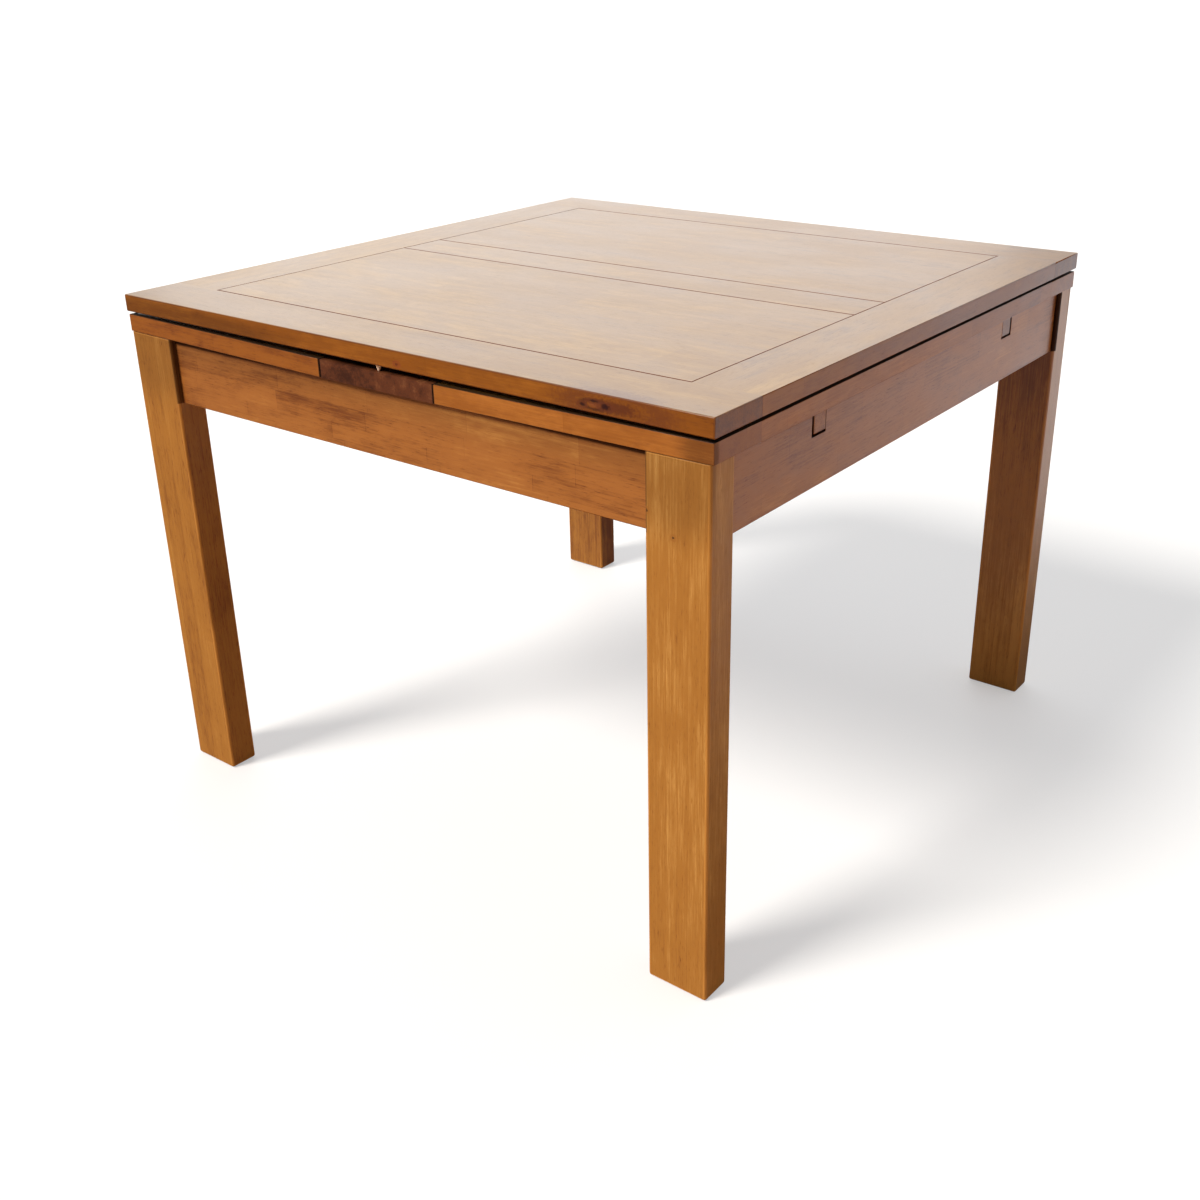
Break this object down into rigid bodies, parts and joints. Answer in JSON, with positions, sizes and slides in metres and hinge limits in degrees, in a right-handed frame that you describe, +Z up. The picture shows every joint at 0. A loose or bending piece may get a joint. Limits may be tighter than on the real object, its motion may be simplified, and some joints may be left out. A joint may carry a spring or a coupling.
{
  "type": "extending dining table",
  "caption": "Square wooden dining table whose two draw leaves slide out from under a loose framed top on lopers.",
  "frame": {"origin": "on the floor, under the middle of the top", "axes": "+Z up; the leaves draw out along +X and -X; -Y is the front side apron"},
  "size_m": [1, 1, 0.75],
  "materials": {
    "top_wood": "satin lacquer",
    "leaf_wood": "satin lacquer",
    "apron_wood": "satin lacquer",
    "leg_wood": "satin lacquer",
    "inner_wood": "matt lacquer",
    "loper_wood": "matt lacquer",
    "dowel_wood": "bare",
    "zinc_steel": "zinc plated",
    "felt": "felt",
    "nylon": "matt"
  },
  "bodies": {
    "frame": {"leg_front_left": "leg_wood", "leg_front_right": "leg_wood", "leg_back_left": "leg_wood", "leg_back_right": "leg_wood", "apron_front": "apron_wood", "apron_back": "apron_wood", "apron_left": "apron_wood", "apron_right": "apron_wood", "centre_bearer": "inner_wood", "loper_guide": "inner_wood", "corner_block_front_left": "inner_wood", "corner_block_front_right": "inner_wood", "corner_block_back_left": "inner_wood", "corner_block_back_right": "inner_wood", "hanger_bolts": "zinc_steel", "hanger_washers": "zinc_steel", "hanger_nuts": "zinc_steel", "block_screws": "zinc_steel", "bearer_screws": "zinc_steel", "frame_dowels": "dowel_wood", "rest_pads": "felt", "foot_glides": "nylon"},
    "leaf_right": {"leaf_right_stile_front": "leaf_wood", "leaf_right_stile_back": "leaf_wood", "leaf_right_rail_outer": "leaf_wood", "leaf_right_rail_inner": "leaf_wood", "leaf_right_panel": "leaf_wood", "loper_right_front": "loper_wood", "loper_right_back": "loper_wood", "loper_right_screws": "zinc_steel", "loper_right_stops": "dowel_wood"},
    "leaf_left": {"leaf_left_stile_front": "leaf_wood", "leaf_left_stile_back": "leaf_wood", "leaf_left_rail_outer": "leaf_wood", "leaf_left_rail_inner": "leaf_wood", "leaf_left_panel": "leaf_wood", "loper_left_front": "loper_wood", "loper_left_back": "loper_wood", "loper_left_screws": "zinc_steel", "loper_left_stops": "dowel_wood"},
    "top": {"top_stile_front": "top_wood", "top_stile_back": "top_wood", "top_rail_left": "top_wood", "top_rail_right": "top_wood", "top_mid_rail": "top_wood", "top_panel_front": "top_wood", "top_panel_back": "top_wood", "top_pegs": "dowel_wood"}
  },
  "joints": [
    {"name": "leaf_right_slide", "type": "slide", "parent": "frame", "child": "leaf_right", "axis": [0.9999, 0, 0.01], "range_m": [0, 0.4]},
    {"name": "leaf_left_slide", "type": "slide", "parent": "frame", "child": "leaf_left", "axis": [-0.9999, 0, 0.01], "range_m": [0, 0.4]},
    {"name": "top_lift", "type": "slide", "parent": "frame", "child": "top", "axis": [0, 0, 1], "range_m": [0, 0.032]}
  ]
}
